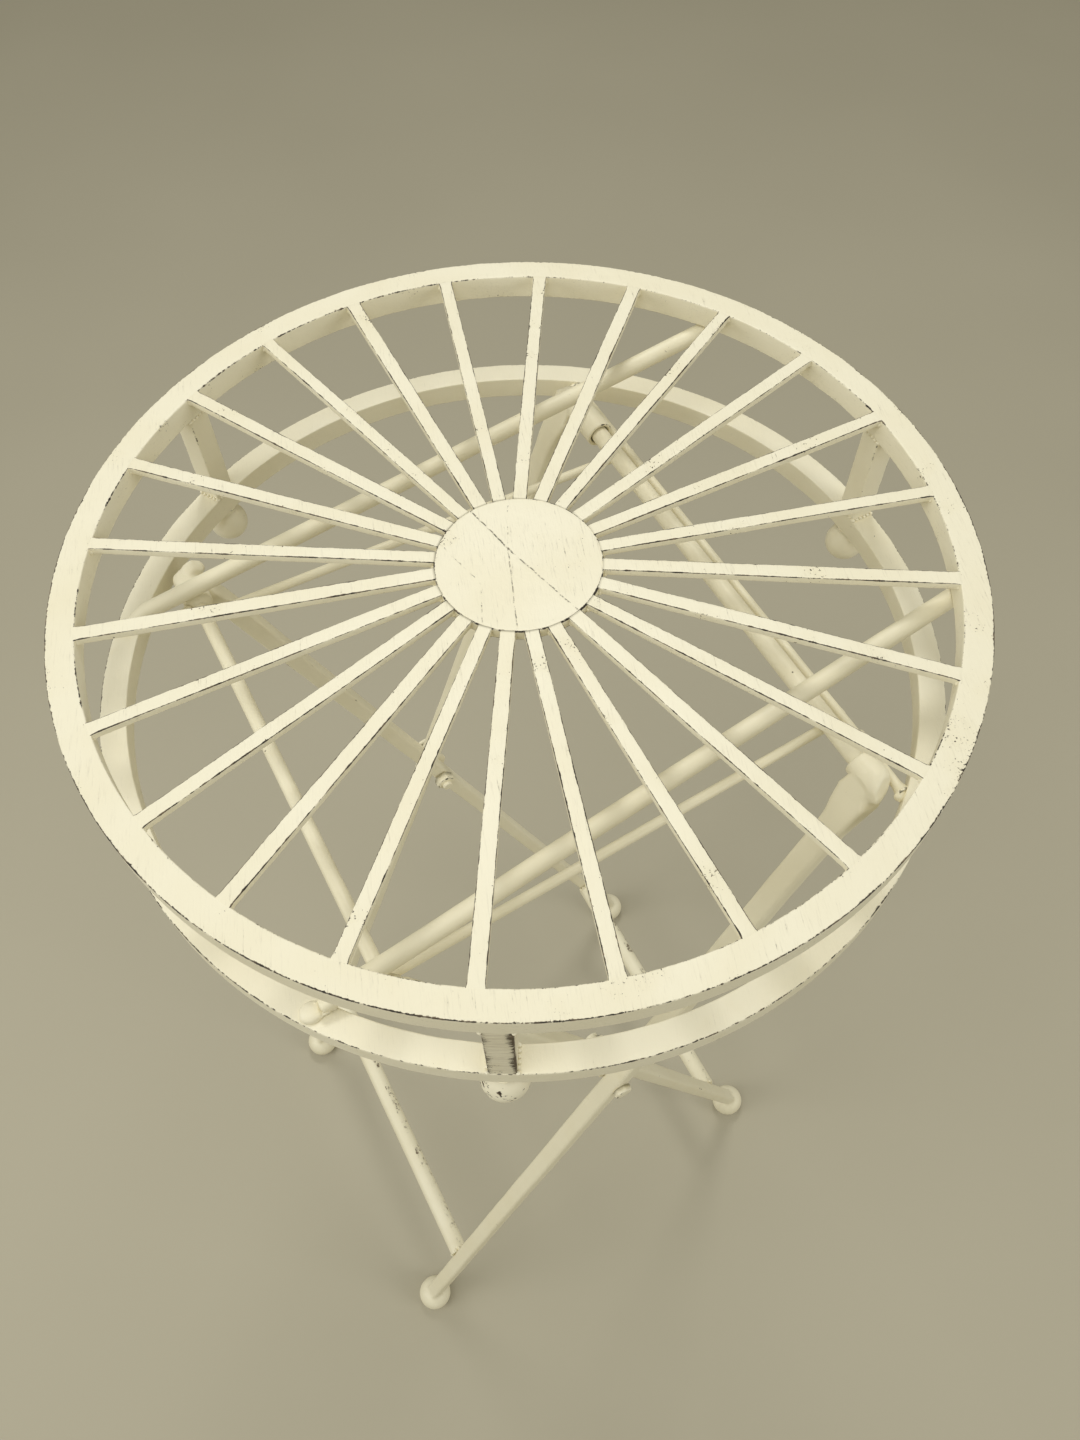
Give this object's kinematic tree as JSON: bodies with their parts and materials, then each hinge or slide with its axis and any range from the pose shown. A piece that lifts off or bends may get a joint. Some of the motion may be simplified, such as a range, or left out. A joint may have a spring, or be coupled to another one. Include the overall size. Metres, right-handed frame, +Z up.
{
  "type": "folding side table",
  "caption": "Round folding metal side table: spoked wheel top on a drum of square-bar rings, over crossed square-tube legs with ball feet, in distressed cream paint.",
  "frame": {"origin": "on the floor under the centre of the round top", "axes": "+Z up; Y along the hinge rod and the leg pivots, +Y left; +X towards the hinge side"},
  "size_m": [0.3263, 0.32, 0.684],
  "materials": {
    "top_paint": "matte cream paint, brushed, scratched and chipped to dark brown along edges",
    "rod_paint": "matte cream paint",
    "leg_paint": "matte cream paint with light chipping",
    "fastener_paint": "painted over with the legs"
  },
  "bodies": {
    "outer_legs": {"outer_eyes": "rod_paint", "outer_leg_left": "leg_paint", "outer_leg_right": "leg_paint", "outer_stretcher": "leg_paint", "pivot_bolts": "fastener_paint", "pivot_nuts": "fastener_paint", "pivot_washers": "fastener_paint"},
    "inner_legs": {"inner_eyes": "rod_paint", "inner_leg_left": "leg_paint", "inner_leg_right": "leg_paint", "inner_stretcher": "leg_paint", "cross_rod": "rod_paint"},
    "drum": {"top_ring": "top_paint", "lower_ring": "top_paint", "hub_disc": "top_paint", "spoke_01": "top_paint", "spoke_02": "top_paint", "spoke_03": "top_paint", "spoke_04": "top_paint", "spoke_05": "top_paint", "spoke_06": "top_paint", "spoke_07": "top_paint", "spoke_08": "top_paint", "spoke_09": "top_paint", "spoke_10": "top_paint", "spoke_11": "top_paint", "spoke_12": "top_paint", "spoke_13": "top_paint", "spoke_14": "top_paint", "spoke_15": "top_paint", "spoke_16": "top_paint", "spoke_17": "top_paint", "spoke_18": "top_paint", "spoke_19": "top_paint", "spoke_20": "top_paint", "spoke_21": "top_paint", "spoke_22": "top_paint", "spoke_23": "top_paint", "spoke_24": "top_paint", "post_rear": "top_paint", "post_left": "top_paint", "post_right": "top_paint", "post_balls": "top_paint", "rail_left": "rod_paint", "rail_right": "rod_paint", "hinge_rod": "rod_paint", "brace_wire": "rod_paint", "stay_left": "rod_paint", "stay_right": "rod_paint"}
  },
  "joints": [
    {"name": "leg_fold", "type": "hinge", "parent": "outer_legs", "child": "inner_legs", "pos_m": [-0.01058, 0, 0.3895], "axis": [0, 1, 0], "range_deg": [0, 35]},
    {"name": "drum_hinge", "type": "hinge", "parent": "outer_legs", "child": "drum", "pos_m": [0.08399, 0, 0.6296], "axis": [0, 1, 0], "range_deg": [0, 10.6]}
  ],
  "couplings": [
    {"joint": "drum_hinge", "follows": "leg_fold", "ratio": 0.3}
  ]
}
